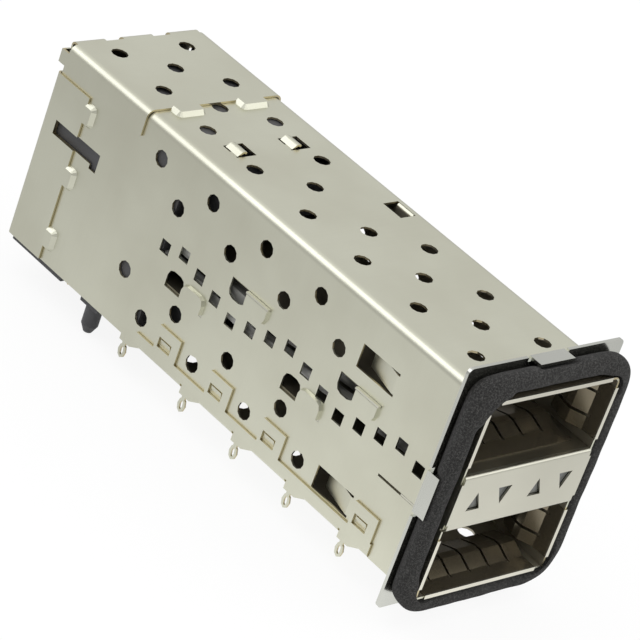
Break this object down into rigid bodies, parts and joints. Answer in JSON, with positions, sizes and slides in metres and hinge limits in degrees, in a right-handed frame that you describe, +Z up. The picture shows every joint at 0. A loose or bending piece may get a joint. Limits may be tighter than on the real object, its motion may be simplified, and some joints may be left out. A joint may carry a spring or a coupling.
{
  "type": "qsfp connector",
  "caption": "Stacked pluggable-module connector: vented folded-metal cage with press-fit pins, foam front gasket, light pipes and a moulded contact block for a circuit board.",
  "frame": {"origin": "on the board's surface at mid width, on the solid strip of the contact block's foot in front of its legs", "axes": "+X across, to the right seen from the mouth; +Y from the mouth towards the rear; +Z up from the board"},
  "size_m": [0.0246, 0.0751, 0.0327],
  "materials": {
    "cage_sheet": "satin nickel plate",
    "separator_sheet": "satin nickel plate",
    "flange_sheet": "satin",
    "spring_sheet": "satin",
    "gasket_foam": "grainy conductive foam",
    "black_moulding": "matt",
    "contact_metal": "plated",
    "light_guide": "clear, frosted tip"
  },
  "bodies": {
    "root": {"cage_shell": "cage_sheet", "rear_cover": "cage_sheet", "floor_plate": "cage_sheet", "port_separator": "separator_sheet", "front_flange": "flange_sheet", "gasket": "gasket_foam", "contact_block": "black_moulding", "lower_floor_spring": "spring_sheet", "lower_roof_spring": "spring_sheet", "lower_left_spring": "spring_sheet", "lower_right_spring": "spring_sheet", "upper_floor_spring": "spring_sheet", "upper_roof_spring": "spring_sheet", "upper_left_spring": "spring_sheet", "upper_right_spring": "spring_sheet", "lower_port_lower_contacts": "contact_metal", "lower_port_upper_contacts": "contact_metal", "upper_port_lower_contacts": "contact_metal", "upper_port_upper_contacts": "contact_metal", "light_pipe_1": "light_guide", "light_pipe_2": "light_guide", "light_pipe_3": "light_guide", "light_pipe_4": "light_guide"}
  },
  "joints": []
}
